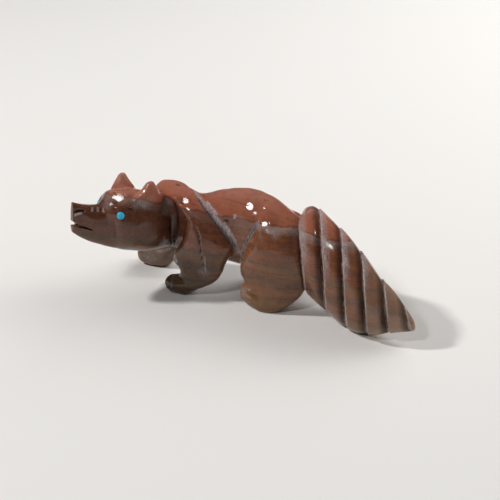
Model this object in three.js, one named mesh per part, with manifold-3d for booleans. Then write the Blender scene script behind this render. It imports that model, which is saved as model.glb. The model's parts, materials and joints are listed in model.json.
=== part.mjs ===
// Carved stone fox, walking, with its nose raised, its head turned and a fluted tail that rests on
// the ground. Two round turquoise inlays are its eyes. Millimetres, +Z up: the head is at -X, the tail
// at +X, and the side that the head turns to is -Y.

import * as THREE from "three";
import { ParametricGeometry } from "three/addons/geometries/ParametricGeometry.js";
import { mergeVertices } from "three/addons/utils/BufferGeometryUtils.js";
import Module from "manifold-3d";

// Driving sizes
const LENGTH = 82;
const EYE_DIAMETER = 1.8;
const EYE_DEPTH = 1.5;
const EYE_DOME = 0.25;
const SOCKET_CLEARANCE = 0.3;
const MOUTH_GAP = 1.2;
const MOUTH_CORNER_GAP = 0.4;
const NOSTRIL_WIDTH = 1.1;
const GROOVE_DEPTH = 0.8;
const FLUTES = 6;
const FLUTE_DEPTH = 1.9;

// The carving is drawn on a grid, and it spans this many steps from nose to tail tip
const STEPS = 81.34;
const GRID = LENGTH / STEPS;
const ALONG_X = new THREE.Vector3(1, 0, 0);
const ALONG_Y = new THREE.Vector3(0, 1, 0);
const ALONG_Z = new THREE.Vector3(0, 0, 1);

// Round bodies drawn through stations

// A superellipse of power 2 is an ellipse, and a higher power is squarer.
function swell(value, power) {
  return Math.sign(value) * Math.abs(value) ** (2 / power);
}

// How wide the body still is near its two ends, where it closes as a dome over a share of its length.
function closing(t, startShare, endShare) {
  const atStart = Math.max(0, 1 - t / startShare);
  const atEnd = Math.max(0, 1 - (1 - t) / endShare);
  return Math.sqrt(Math.max(0, 1 - atStart ** 2) * Math.max(0, 1 - atEnd ** 2));
}

function smoothCurve(points) {
  return new THREE.CatmullRomCurve3(points, false, "catmullrom");
}

// A closed body through stations [x, y, z, half width, reach above, reach below] in grid steps.
// The half width runs along Y. The reaches run along the rise, or square to the path where none is given.
// The faces look outward where the path runs toward +X under a rise of Z, or downward under a rise of X.
function loft(stations, { rise, power = 2.2, around = 24, rows = 22, domes = [0.15, 0.15] }) {
  const scaled = (values) => new THREE.Vector3(...values).multiplyScalar(GRID);
  const path = smoothCurve(stations.map((station) => scaled(station.slice(0, 3))));
  const sizes = smoothCurve(stations.map((station) => scaled(station.slice(3))));

  function surface(u, v, target) {
    const t = (1 - Math.cos(Math.PI * v)) / 2;
    const angle = 2 * Math.PI * (u % 1);
    const half = sizes.getPoint(t).multiplyScalar(closing(t, ...domes));
    const along = path.getTangent(t);
    const across = ALONG_Y.clone();
    if (!rise) across.addScaledVector(along, -across.dot(along)).normalize();
    const above = rise ?? along.clone().cross(across);
    const out = swell(Math.cos(angle), power) * half.x;
    const lift = swell(Math.sin(angle), power) * (angle < Math.PI ? half.y : half.z);
    target.copy(path.getPoint(t)).addScaledVector(across, out).addScaledVector(above, lift);
  }
  return new ParametricGeometry(surface, around, rows);
}

// Joining and cutting

const wasm = await Module();
wasm.setup();

function solid(geometry) {
  const bare = geometry.clone();
  bare.deleteAttribute("normal");
  bare.deleteAttribute("uv");
  const merged = mergeVertices(bare, 1e-4);
  return new wasm.Manifold(
    new wasm.Mesh({
      numProp: 3,
      vertProperties: merged.attributes.position.array,
      triVerts: new Uint32Array(merged.index.array),
    }),
  );
}

function geometryOf(body) {
  const { vertProperties, triVerts } = body.getMesh();
  const geometry = new THREE.BufferGeometry();
  geometry.setAttribute("position", new THREE.BufferAttribute(vertProperties, 3));
  geometry.setIndex(new THREE.BufferAttribute(triVerts, 1));
  return geometry;
}

// Body and legs, drawn in the figure's own frame

function trunk() {
  return loft(
    [
      [-34, 1.8, 16.5, 3.6, 7.6, 6.5],
      [-30, 2.0, 16, 4.3, 9.1, 6.9],
      [-26, 2.2, 16, 4.8, 8.8, 7.8],
      [-21.5, 2.0, 16, 5.4, 6.5, 8.0],
      [-16, 1.8, 16, 5.7, 8.3, 8.5],
      [-11, 1.4, 16, 6.0, 9.5, 8.8],
      [-7, 0.9, 16, 6.4, 9.7, 8.5],
      [-3, 0.3, 16, 7.4, 8.2, 7.0],
      [1, -0.2, 15.6, 7.2, 6.0, 6.2],
      [5, -1.0, 14.8, 5.2, 4.8, 4.4],
      [9, -2.4, 14.2, 3.4, 3.4, 3.4],
    ],
    { rise: ALONG_Z, around: 24, rows: 24, domes: [0.1, 0.1] },
  );
}

// The mane overhangs the neck behind the head and runs into the near shoulder.
function mane() {
  return loft(
    [
      [-31.5, 1.2, 23.3, 2.4, 1.1, 1.0],
      [-28.5, 0.8, 23.8, 3.6, 1.1, 1.2],
      [-25.5, 0.1, 23.6, 4.0, 1.0, 1.4],
      [-22.0, -0.6, 22.4, 3.8, 1.0, 2.2],
    ],
    { rise: ALONG_Z, around: 16, rows: 10, domes: [0.25, 0.25] },
  );
}

// Leg stations give the half width across the animal, then the reach backward and forward.

function nearShoulder() {
  return loft(
    [
      [-26.2, 1.2, 24.6, 3.2, 3.2, 4.2],
      [-23.2, -0.6, 22.2, 3.5, 4.6, 3.4],
      [-19.8, -2.4, 19.4, 3.2, 5.4, 3.0],
      [-17.6, -3.8, 16.2, 3.0, 5.9, 4.7],
      [-17.0, -4.4, 13.2, 2.9, 6.4, 6.4],
      [-17.4, -4.5, 10.6, 2.9, 5.6, 7.5],
      [-18.0, -4.5, 8.4, 2.8, 5.3, 7.5],
      [-19.2, -4.4, 6.0, 2.7, 5.6, 4.6],
      [-20.6, -4.4, 3.6, 2.6, 5.2, 3.6],
      [-22.4, -4.4, 1.2, 2.4, 2.8, 2.6],
      [-23.2, -4.4, -1.0, 2.0, 1.2, 1.8],
    ],
    { rise: ALONG_X, around: 20, rows: 22, domes: [0.12, 0.1] },
  );
}

function nearFrontPaw() {
  return loft(
    [
      [-27.6, -4.3, 2.5, 2.1, 0.7, 1.8],
      [-25.4, -4.3, 2.5, 2.7, 1.2, 2.7],
      [-22.6, -4.4, 2.6, 2.8, 2.1, 2.9],
      [-19.6, -4.4, 3.8, 2.6, 2.0, 2.8],
      [-16.8, -4.4, 5.0, 1.8, 1.0, 1.4],
    ],
    { rise: ALONG_Z, around: 16, rows: 10, domes: [0.12, 0.3] },
  );
}

function farShoulder() {
  return loft(
    [
      [-25.0, 4.0, 21.0, 3.0, 4.4, 4.4],
      [-25.4, 6.0, 17.0, 3.0, 4.8, 4.6],
      [-26.6, 7.2, 13.0, 2.8, 4.8, 4.6],
      [-28.4, 7.9, 9.0, 2.7, 4.8, 4.4],
      [-31.0, 8.3, 5.5, 2.6, 4.4, 3.8],
      [-33.6, 8.3, 2.2, 2.5, 3.2, 3.2],
      [-34.6, 8.3, -1.0, 2.0, 2.4, 2.4],
    ],
    { rise: ALONG_X, around: 20, rows: 18, domes: [0.16, 0.12] },
  );
}

function farFrontPaw() {
  return loft(
    [
      [-39.6, 8.3, 3.0, 2.0, 1.4, 1.6],
      [-38, 8.3, 2.6, 2.6, 2.0, 2.6],
      [-35, 8.3, 2.2, 2.8, 2.2, 2.8],
      [-32.0, 8.3, 2.6, 2.6, 2.2, 3.0],
      [-29.2, 8.2, 3.6, 1.8, 1.6, 1.8],
    ],
    { rise: ALONG_Z, around: 14, rows: 9, domes: [0.12, 0.3] },
  );
}

// The far hind leg stands a little ahead of the near one.
const FAR_LEG_STEP = -1.6;

function haunch(sideways, shift) {
  return loft(
    [
      [0.2 + shift, sideways * 1.4, 21.4, 3.0, 3.2, 3.6],
      [0.0 + shift, sideways * 3.2, 19.2, 4.0, 5.2, 5.0],
      [-0.2 + shift, sideways * 4.3, 15.0, 4.2, 6.6, 6.2],
      [-0.1 + shift, sideways * 4.5, 11.0, 4.0, 7.6, 8.3],
      [-0.2 + shift, sideways * 4.7, 7.6, 3.9, 7.8, 8.4],
      [-0.8 + shift, sideways * 5.1, 4.2, 3.9, 7.2, 5.6],
      [-1.4 + shift, sideways * 5.7, 1.4, 3.7, 5.2, 4.6],
      [-1.6 + shift, sideways * 6.0, -1.0, 3.3, 2.8, 3.4],
    ],
    { rise: ALONG_X, around: 20, rows: 18, domes: [0.16, 0.12] },
  );
}

function hindPaw(sideways, shift) {
  return loft(
    [
      [-8.4 + shift, sideways * 4.9, 3.2, 2.2, 1.8, 2.0],
      [-7 + shift, sideways * 5.0, 2.9, 2.8, 2.5, 2.7],
      [-4 + shift, sideways * 5.6, 2.2, 3.5, 2.6, 2.8],
      [-1 + shift, sideways * 5.9, 2.0, 3.3, 2.4, 2.4],
    ],
    { rise: ALONG_Z, around: 14, rows: 8, domes: [0.14, 0.2] },
  );
}

// The flutes run round the tail like a screw with several starts. The rows of the mesh follow the screw,
// so that each flute keeps its sharp edge: a band falls slowly from the edge toward the tip, and a steep
// wall climbs from there to the next edge. They are deepest on the two sides, and run out at the tip.
// [share of the flute, share of the depth]

const FLUTE_PROFILE = [
  [0, 0],
  [0.22, 0.02],
  [0.44, 0.12],
  [0.62, 0.32],
  [0.78, 0.62],
  [0.92, 1],
];
const FLUTE_STARTS = 1;
const FIRST_FLUTE = -0.02;
const LAST_FLUTE = 1.06;
const FLUTE_CREST = 0.14;
const FLUTE_RUN_OUT = 0.18;
const TAIL_SIDE = new THREE.Vector3(-0.25, 1, 0).normalize();

function tail() {
  const stations = [
    [3.5, -1.2, 15.2, 7.4, 6.8, 9.2],
    [8.0, -2.8, 14.6, 8.7, 10.4, 11.6],
    [12.6, -4.9, 12.0, 8.7, 11.3, 11.2],
    [17.0, -7.3, 9.4, 8.3, 11.9, 10.0],
    [21.4, -9.5, 7.2, 7.4, 11.0, 7.8],
    [25.8, -11.3, 5.8, 5.6, 8.4, 5.0],
    [30.0, -12.4, 5.0, 3.6, 6.0, 2.6],
    [34.4, -12.9, 4.2, 0.9, 1.1, 0.9],
  ];
  const path = smoothCurve(stations.map(([x, y, z]) => new THREE.Vector3(x, y, z).multiplyScalar(GRID)));
  const sizes = smoothCurve(stations.map((station) => new THREE.Vector3(...station.slice(3)).multiplyScalar(GRID)));
  const perFlute = FLUTE_PROFILE.length;
  const spacing = (LAST_FLUTE - FIRST_FLUTE) / FLUTES;
  const rows = (FLUTES + FLUTE_STARTS) * perFlute;

  function surface(u, v, target) {
    const row = Math.round(v * rows);
    const [share, fall] = FLUTE_PROFILE[row % perFlute];
    const flute = Math.floor(row / perFlute) - FLUTE_STARTS + share;
    const t = THREE.MathUtils.clamp(FIRST_FLUTE + spacing * (flute + FLUTE_STARTS * u), 0, 1);
    const angle = 2 * Math.PI * (u % 1);
    const half = sizes.getPoint(t).multiplyScalar(closing(t, 0.08, 0.02));
    const sideness = FLUTE_CREST + (1 - FLUTE_CREST) * Math.cos(angle) ** 4;
    const depth = FLUTE_DEPTH * sideness * Math.min(1, ((1 - t) / FLUTE_RUN_OUT) ** 2);
    const deep = 1 - (fall * depth) / Math.max(half.x, GRID / 100);
    target
      .copy(path.getPoint(t))
      .addScaledVector(TAIL_SIDE, deep * Math.cos(angle) * half.x)
      .addScaledVector(ALONG_Z, deep * Math.sin(angle) * (angle < Math.PI ? half.y : half.z));
  }
  return new ParametricGeometry(surface, 26, rows);
}

// Head, drawn looking along +X with its left side at +Y, and then turned into place

const HEAD_BASE = [-31.4, -2.5, 0];
const HEAD_TURN = THREE.MathUtils.degToRad(46);
const HEAD_ROLL = THREE.MathUtils.degToRad(6);

const headPose = new THREE.Group();
headPose.position.set(...HEAD_BASE).multiplyScalar(GRID);
headPose.rotation.set(HEAD_ROLL, 0, Math.PI + HEAD_TURN, "ZXY");
headPose.updateMatrixWorld();

function skull() {
  return loft(
    [
      [-7, 0, 16.0, 4.6, 6.2, 6.8],
      [-3, 0, 16.2, 5.5, 6.6, 7.4],
      [1, 0, 16.6, 6.4, 7.0, 7.8],
      [5, 0, 17.4, 6.7, 7.2, 7.7],
      [8.6, 0, 18.2, 6.4, 6.7, 7.4],
      [12.0, 0, 18.6, 5.0, 4.8, 6.3],
    ],
    { rise: ALONG_Z, around: 24, rows: 20, domes: [0.12, 0.18] },
  );
}

function muzzle() {
  return loft(
    [
      [4, 0, 16.6, 4.2, 5.0, 6.2],
      [8, 0, 17.0, 4.2, 5.0, 6.1],
      [12, 0, 17.8, 3.4, 4.2, 5.5],
      [16, 0, 19.2, 2.5, 3.7, 4.6],
      [19.1, 0, 20.9, 0.9, 3.3, 3.9],
    ],
    { rise: ALONG_Z, power: 3.4, around: 24, rows: 14, domes: [0.2, 0.001] },
  );
}

function brow(sideways, forward) {
  return loft(
    [
      [5.5 + forward, sideways * 3.4, 21.2, 2.0, 2.0, 2.0],
      [9.2 + forward, sideways * 3.9, 21.3, 2.4, 2.4, 2.4],
      [12.9 + forward, sideways * 2.9, 20.9, 1.9, 1.9, 1.9],
    ],
    { rise: ALONG_Z, around: 14, rows: 10, domes: [0.3, 0.3] },
  );
}

// An ear's half width runs sideways, and its reaches backward and forward.
function ear(sideways, forward, wide) {
  return loft(
    [
      [1.6 + forward, sideways * 3.7, 20.6, 1.9 * wide, 2.7 * wide, 2.4 * wide],
      [1.8 + forward, sideways * 4.6, 23.0, 1.6 * wide, 2.8 * wide, 2.7 * wide],
      [1.6 + forward, sideways * 5.1, 25.2, 1.1 * wide, 1.6 * wide, 1.65 * wide],
      [1.3 + forward, sideways * 5.4, 27.2, 0.5 * wide, 0.55 * wide, 0.55 * wide],
    ],
    { rise: ALONG_X.clone().negate(), around: 12, rows: 9, domes: [0.2, 0.08] },
  );
}

// The low ridge that leads from the brow up to the near ear
function earRoot() {
  return loft(
    [
      [1.6, 5.0, 24.8, 1.1, 1.1, 2.0],
      [4.0, 4.7, 23.9, 1.4, 1.2, 2.0],
      [6.8, 4.0, 22.4, 1.6, 1.2, 2.0],
    ],
    { rise: ALONG_Z, around: 12, rows: 8, domes: [0.3, 0.4] },
  );
}

// A wedge sawn right through the muzzle, from the corner of the mouth to past the nose
const MOUTH_CORNER = [14.4, 16.9];
const MOUTH_FRONT = [20.6, 19.65];
const MOUTH_TOOL_WIDTH = 20 * GRID;

function mouth() {
  const [cornerX, cornerZ] = MOUTH_CORNER.map((value) => value * GRID);
  const [frontX, frontZ] = MOUTH_FRONT.map((value) => value * GRID);
  const profile = new THREE.Shape([
    new THREE.Vector2(cornerX, cornerZ - MOUTH_CORNER_GAP / 2),
    new THREE.Vector2(frontX, frontZ - MOUTH_GAP / 2),
    new THREE.Vector2(frontX, frontZ + MOUTH_GAP / 2),
    new THREE.Vector2(cornerX, cornerZ + MOUTH_CORNER_GAP / 2),
  ]);
  const wedge = new THREE.ExtrudeGeometry(profile, { depth: MOUTH_TOOL_WIDTH, bevelEnabled: false });
  return wedge.translate(0, 0, -MOUTH_TOOL_WIDTH / 2).rotateX(Math.PI / 2);
}

function nostril(sideways) {
  const radius = NOSTRIL_WIDTH / 2 / GRID;
  return loft(
    [
      [17.2, sideways * 2.4, 22.5, radius, radius, radius],
      [18.6, sideways * 2.0, 22.3, radius, radius, radius],
      [20.2, sideways * 1.5, 22.0, radius, radius, radius],
    ],
    { power: 2, around: 10, rows: 6, domes: [0.2, 0.2] },
  );
}

// Where an aim line first meets a body, and the frame to build on there: Y points out of the stone.

function meshOf(body, name, material) {
  const mesh = new THREE.Mesh(geometryOf(body), material);
  mesh.name = name;
  return mesh;
}

function meetingPoint(target, near, aim) {
  const start = near.clone().addScaledVector(aim, -LENGTH);
  return new THREE.Raycaster(start, aim).intersectObject(target)[0].point;
}

// A round channel ground into the stone along a route that is dropped onto its surface from the near
// side and above. The route gives grid points on the surface or close to it.
const CHANNEL_AIM = new THREE.Vector3(-0.3, 0.85, -0.43).normalize();

function channel(target, route, width, depth) {
  const radius = (width ** 2 / 4 + depth ** 2) / (2 * depth);
  const stations = route.map((point) => {
    const near = new THREE.Vector3(...point).multiplyScalar(GRID);
    const centre = meetingPoint(target, near, CHANNEL_AIM).addScaledVector(CHANNEL_AIM, depth - radius);
    return [...centre.divideScalar(GRID).toArray(), radius / GRID, radius / GRID, radius / GRID];
  });
  return loft(stations, { power: 2, around: 12, rows: 3 * route.length, domes: [0.2, 0.2] });
}

const stone = new THREE.MeshStandardMaterial({ color: 0x70402f, roughness: 0.25, metalness: 0 });
const turquoise = new THREE.MeshStandardMaterial({ color: 0x2aa0cd, roughness: 0.35, metalness: 0 });

const headBodies = [
  skull(),
  muzzle(),
  brow(1, -0.9),
  brow(-1, -1.5),
  ear(1, 0.0, 1.26),
  earRoot(),
  ear(-1, 2.5, 1.15),
];
const headBody = headBodies.map(solid).reduce((whole, piece) => whole.add(piece));

// Each eye is a peg with a domed face, in a drilled socket with clearance all round
const EYE_SEATS = {
  eye_left: { near: [9.3, 5.4, 20.4], aim: [-0.35, -0.89, -0.29] },
  eye_right: { near: [10.8, -4.1, 21.2], aim: [-0.8, 0.5, -0.33] },
};

function eyePose({ near, aim }) {
  const along = new THREE.Vector3(...aim).normalize();
  const seat = new THREE.Vector3(...near).multiplyScalar(GRID);
  const pose = new THREE.Group();
  pose.position.copy(meetingPoint(meshOf(headBody), seat, along));
  pose.quaternion.setFromUnitVectors(ALONG_Y, along.negate());
  pose.updateMatrix();
  return pose;
}

function eyePeg() {
  const radius = EYE_DIAMETER / 2;
  const outline = [new THREE.Vector2(0, -EYE_DEPTH), new THREE.Vector2(radius, -EYE_DEPTH)];
  const DOME_STEPS = 3;
  for (let step = 0; step <= DOME_STEPS; step += 1) {
    const turn = (Math.PI / 2) * (step / DOME_STEPS);
    outline.push(new THREE.Vector2(radius * Math.cos(turn), EYE_DOME * Math.sin(turn)));
  }
  return new THREE.LatheGeometry(outline, 18);
}

function socket(pose) {
  const radius = EYE_DIAMETER / 2 + SOCKET_CLEARANCE;
  const tall = 2 * EYE_DEPTH;
  const drill = new THREE.CylinderGeometry(radius, radius, tall, 18);
  return drill.translate(0, tall / 2 - EYE_DEPTH - SOCKET_CLEARANCE, 0).applyMatrix4(pose.matrix);
}

const eyes = Object.fromEntries(Object.entries(EYE_SEATS).map(([name, seat]) => [name, eyePose(seat)]));
const headCuts = [mouth(), nostril(1), nostril(-1), ...Object.values(eyes).map(socket)];
const head = headCuts.reduce((whole, cut) => whole.subtract(solid(cut)), headBody);

// The whole animal

const rest = [
  trunk(),
  mane(),
  nearShoulder(),
  nearFrontPaw(),
  farShoulder(),
  farFrontPaw(),
  haunch(-1, 0),
  hindPaw(-1, 0),
  haunch(1, FAR_LEG_STEP),
  hindPaw(1, FAR_LEG_STEP),
  tail(),
];
const placedHead = head.transform(headPose.matrixWorld.elements);
const joined = rest.map(solid).reduce((whole, piece) => whole.add(piece), placedHead);

const shoulderRoute = [
  [-25.7, 1.5, 24.7],
  [-23.0, 0.7, 23.6],
  [-19.5, -2.3, 21.9],
  [-16.6, -4.1, 20.0],
  [-14.1, -5.1, 17.8],
  [-11.6, -5.2, 15.4],
  [-10.1, -4.0, 12.0],
];
const haunchRoute = [
  [-4.3, -5.6, 20.8],
  [-5.6, -6.0, 17.8],
  [-7.2, -5.3, 14.3],
  [-8.4, -4.1, 11.5],
];
const uncut = meshOf(joined);
const ground = new THREE.BoxGeometry(2 * LENGTH, LENGTH, LENGTH).translate(0, 0, -LENGTH / 2);
const carved = [
  channel(uncut, shoulderRoute, 2.6 * GRID, GROOVE_DEPTH),
  channel(uncut, haunchRoute, 2.4 * GRID, GROOVE_DEPTH),
  ground,
].reduce((whole, cut) => whole.subtract(solid(cut)), joined);

const figure = new THREE.Group();
figure.add(meshOf(carved, "carving", stone));

const headFrame = new THREE.Group();
headFrame.position.copy(headPose.position);
headFrame.rotation.copy(headPose.rotation);
for (const [name, pose] of Object.entries(eyes)) {
  const eye = new THREE.Mesh(eyePeg(), turquoise);
  eye.name = name;
  eye.position.copy(pose.position);
  eye.quaternion.copy(pose.quaternion);
  headFrame.add(eye);
}
figure.add(headFrame);

// Moved so that the figure stands on the ground plane, centred over the origin
const bounds = new THREE.Box3().setFromObject(figure);
const middle = bounds.getCenter(new THREE.Vector3());
figure.position.set(-middle.x, -middle.y, -bounds.min.z);

const fox = new THREE.Group();
fox.add(figure);

export default fox;
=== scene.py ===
# %% [markdown]
# # A carved stone fox
#
# The real object is one pebble of banded stone, sawn, ground and polished into a walking fox, with
# two small turquoise inlays for its eyes. It could be sculpted by hand, or drawn as one sculpted
# surface. Here it is drawn as round bodies through a few stations each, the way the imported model
# was, because then every bulge keeps a size that can be read and changed.

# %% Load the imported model
import json
import math

import bmesh
import bpy
import numpy as np
from mathutils import Matrix, Vector
from mathutils.bvhtree import BVHTree

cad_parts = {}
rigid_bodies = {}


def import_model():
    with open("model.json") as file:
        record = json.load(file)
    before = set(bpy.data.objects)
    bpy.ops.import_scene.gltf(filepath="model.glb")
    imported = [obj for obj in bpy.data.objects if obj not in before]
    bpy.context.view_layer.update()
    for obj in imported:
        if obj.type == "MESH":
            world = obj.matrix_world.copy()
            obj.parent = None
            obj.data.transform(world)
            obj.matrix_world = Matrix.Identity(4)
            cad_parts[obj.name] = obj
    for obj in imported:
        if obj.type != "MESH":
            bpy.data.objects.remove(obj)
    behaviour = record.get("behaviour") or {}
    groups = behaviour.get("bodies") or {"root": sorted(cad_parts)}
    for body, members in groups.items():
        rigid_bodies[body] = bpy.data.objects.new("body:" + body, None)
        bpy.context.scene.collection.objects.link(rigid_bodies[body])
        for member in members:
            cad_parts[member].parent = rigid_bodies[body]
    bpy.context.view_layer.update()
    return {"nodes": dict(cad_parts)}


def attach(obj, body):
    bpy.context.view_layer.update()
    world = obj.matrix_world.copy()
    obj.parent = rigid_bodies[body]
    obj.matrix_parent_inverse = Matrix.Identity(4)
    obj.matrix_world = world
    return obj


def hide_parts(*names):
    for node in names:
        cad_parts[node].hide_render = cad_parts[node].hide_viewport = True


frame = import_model()
print("packed nodes:", sorted(frame["nodes"]))

# %% [markdown]
# ## Sizes
#
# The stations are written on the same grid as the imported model's, in steps of about a millimetre, and
# two values bring them into place: the size of a step, and the shift that centres the fox over the
# origin. All carving is done in millimetres, and each finished piece is scaled to metres at the end.

# %% Grid and place
LENGTH_MM = 82
LENGTH_STEPS = 81.34
GRID = LENGTH_MM / LENGTH_STEPS
SHIFT = np.array([6.319, 2.884, 0.0])
METRES = 0.001


def on_grid(*point):
    return np.array(point, float) * GRID + SHIFT


# %% [markdown]
# ## Bodies through stations
#
# A station is a place on the path and three sizes: the half width, and how far the body reaches
# above and below the path. A smooth curve runs through the stations, and rings are laid along it.
# A superellipse of power 2 is an oval, and a higher power is squarer, as the muzzle is. Blender's
# own curve bevels can't change their section so freely, so the rings are set in mesh code.


# %% Curves and rings
def curve(points, t):
    """Places on a smooth curve through the points, at shares t of it."""
    points = np.vstack([2 * points[0] - points[1], points, 2 * points[-1] - points[-2]])
    steps = np.clip(t, 0, 1) * (len(points) - 3)
    first = np.minimum(steps.astype(int), len(points) - 4)
    w = (steps - first)[:, None]
    a, b, c, d = (points[first + k] for k in range(4))
    leave, arrive = (c - a) / 2, (d - b) / 2
    bend = 3 * (c - b) - 2 * leave - arrive
    return b + w * (leave + w * (bend + w * (2 * (b - c) + leave + arrive)))


def closing(t, start, end):
    """How wide the body still is near its ends, where it closes as a dome over a share of its length."""
    at_start = np.clip(1 - t / start, 0, 1)
    at_end = np.clip(1 - (1 - t) / end, 0, 1)
    return np.sqrt((1 - at_start**2) * (1 - at_end**2))


def swell(value, power):
    return np.sign(value) * np.abs(value) ** (2 / power)


def unit(vectors):
    return vectors / np.linalg.norm(vectors, axis=-1, keepdims=True)


ALONG_X = np.array([1.0, 0, 0])
ALONG_Y = np.array([0, 1.0, 0])
ALONG_Z = np.array([0, 0, 1.0])


def rings(stations, rise=None, power=2.2, domes=(0.15, 0.15), around=80, rows=90):
    """The rings of a closed body, as an array of rows x around x 3, in grid steps."""
    stations = np.array(stations, float)
    t = (1 - np.cos(np.pi * np.linspace(0, 1, rows + 1))) / 2
    path = curve(stations[:, :3], t)
    half = curve(stations[:, 3:], t) * closing(t, *domes)[:, None]
    across = np.tile(ALONG_Y, (len(t), 1))
    above = np.tile(ALONG_Z if rise is None else rise, (len(t), 1))
    if rise is None:
        along = unit(curve(stations[:, :3], t + 1e-4) - curve(stations[:, :3], t - 1e-4))
        across = unit(across - along * (across * along).sum(1, keepdims=True))
        above = np.cross(along, across)
    angle = np.linspace(0, 2 * np.pi, around, endpoint=False)
    out = swell(np.cos(angle), power) * half[:, :1]
    lift = swell(np.sin(angle), power) * np.where(angle < np.pi, half[:, 1:2], half[:, 2:3])
    return path[:, None] + across[:, None] * out[..., None] + above[:, None] * lift[..., None]


def ring_faces(rows, around):
    """Quads between neighbouring rings."""
    row, column = np.meshgrid(np.arange(rows - 1), np.arange(around), indexing="ij")
    beside = (column + 1) % around
    ring, next_ring = row * around, (row + 1) * around
    quads = np.stack([ring + column, ring + beside, next_ring + beside, next_ring + column], -1)
    return quads.reshape(-1, 4).tolist()


def mesh_object(name, points, faces):
    """A welded mesh object with its faces turned outward."""
    mesh = bpy.data.meshes.new(name)
    mesh.from_pydata(points.reshape(-1, 3).tolist(), [], faces)
    work = bmesh.new()
    work.from_mesh(mesh)
    bmesh.ops.remove_doubles(work, verts=work.verts, dist=1e-4)
    bmesh.ops.dissolve_degenerate(work, edges=work.edges, dist=1e-5)
    bmesh.ops.recalc_face_normals(work, faces=work.faces)
    work.to_mesh(mesh)
    work.free()
    piece = bpy.data.objects.new(name, mesh)
    bpy.context.scene.collection.objects.link(piece)
    return piece


# %% [markdown]
# ## Trunk and mane
#
# The trunk is long and slightly arched, high over the loins and low at the neck. The mane is a
# shallow lid that overhangs the neck behind the head and runs down into the near shoulder.

# %% Trunk and mane
bodies = {}
bodies["trunk"] = rings(
    [
        [-34, 1.8, 16.5, 3.6, 7.6, 6.5],
        [-30, 2.0, 16, 4.3, 9.1, 6.9],
        [-26, 2.2, 16, 4.8, 8.8, 7.8],
        [-21.5, 2.0, 16, 5.4, 6.5, 8.0],
        [-16, 1.8, 16, 5.7, 8.3, 8.5],
        [-11, 1.4, 16, 6.0, 9.5, 8.8],
        [-7, 0.9, 16, 6.4, 9.7, 8.5],
        [-3, 0.3, 16, 7.4, 8.2, 7.0],
        [1, -0.2, 15.6, 7.2, 6.0, 6.2],
        [5, -1.0, 14.8, 5.2, 4.8, 4.4],
        [9, -2.4, 14.2, 3.4, 3.4, 3.4],
    ],
    rise=ALONG_Z,
    domes=(0.1, 0.1),
)
bodies["mane"] = rings(
    [
        [-31.5, 1.2, 23.3, 2.4, 1.1, 1.0],
        [-28.5, 0.8, 23.8, 3.6, 1.1, 1.2],
        [-25.5, 0.1, 23.6, 4.0, 1.0, 1.4],
        [-22.0, -0.6, 22.4, 3.8, 1.0, 2.2],
    ],
    rise=ALONG_Z,
    domes=(0.25, 0.25),
)
print("trunk and mane:", [rows.shape for rows in bodies.values()])

# %% [markdown]
# ## Legs and paws
#
# The fox walks: its near front leg stands under the chest and its far one reaches forward. Each leg
# is a broad flat body, widest at the elbow or the knee, and runs down into a blunt paw. A leg's path
# goes down, so its reaches are measured backward and forward.

# %% Legs and paws
bodies["near shoulder"] = rings(
    [
        [-26.2, 1.2, 24.6, 3.2, 3.2, 4.2],
        [-23.2, -0.6, 22.2, 3.5, 4.6, 3.4],
        [-19.8, -2.4, 19.4, 3.2, 5.4, 3.0],
        [-17.6, -3.8, 16.2, 3.0, 5.9, 4.7],
        [-17.0, -4.4, 13.2, 2.9, 6.4, 6.4],
        [-17.4, -4.5, 10.6, 2.9, 5.6, 7.5],
        [-18.0, -4.5, 8.4, 2.8, 5.3, 7.5],
        [-19.2, -4.4, 6.0, 2.7, 5.6, 4.6],
        [-20.6, -4.4, 3.6, 2.6, 5.2, 3.6],
        [-22.4, -4.4, 1.2, 2.4, 2.8, 2.6],
        [-23.2, -4.4, -1.0, 2.0, 1.2, 1.8],
    ],
    rise=ALONG_X,
    domes=(0.12, 0.1),
)
bodies["near front paw"] = rings(
    [
        [-27.6, -4.3, 2.5, 2.1, 0.7, 1.8],
        [-25.4, -4.3, 2.5, 2.7, 1.2, 2.7],
        [-22.6, -4.4, 2.6, 2.8, 2.1, 2.9],
        [-19.6, -4.4, 3.8, 2.6, 2.0, 2.8],
        [-16.8, -4.4, 5.0, 1.8, 1.0, 1.4],
    ],
    rise=ALONG_Z,
    domes=(0.12, 0.3),
)
bodies["far shoulder"] = rings(
    [
        [-25.0, 4.0, 21.0, 3.0, 4.4, 4.4],
        [-25.4, 6.0, 17.0, 3.0, 4.8, 4.6],
        [-26.6, 7.2, 13.0, 2.8, 4.8, 4.6],
        [-28.4, 7.9, 9.0, 2.7, 4.8, 4.4],
        [-31.0, 8.3, 5.5, 2.6, 4.4, 3.8],
        [-33.6, 8.3, 2.2, 2.5, 3.2, 3.2],
        [-34.6, 8.3, -1.0, 2.0, 2.4, 2.4],
    ],
    rise=ALONG_X,
    domes=(0.16, 0.12),
)
bodies["far front paw"] = rings(
    [
        [-39.6, 8.3, 3.0, 2.0, 1.4, 1.6],
        [-38, 8.3, 2.6, 2.6, 2.0, 2.6],
        [-35, 8.3, 2.2, 2.8, 2.2, 2.8],
        [-32.0, 8.3, 2.6, 2.6, 2.2, 3.0],
        [-29.2, 8.2, 3.6, 1.8, 1.6, 1.8],
    ],
    rise=ALONG_Z,
    domes=(0.12, 0.3),
)
FAR_LEG_STEP = -1.6
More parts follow.
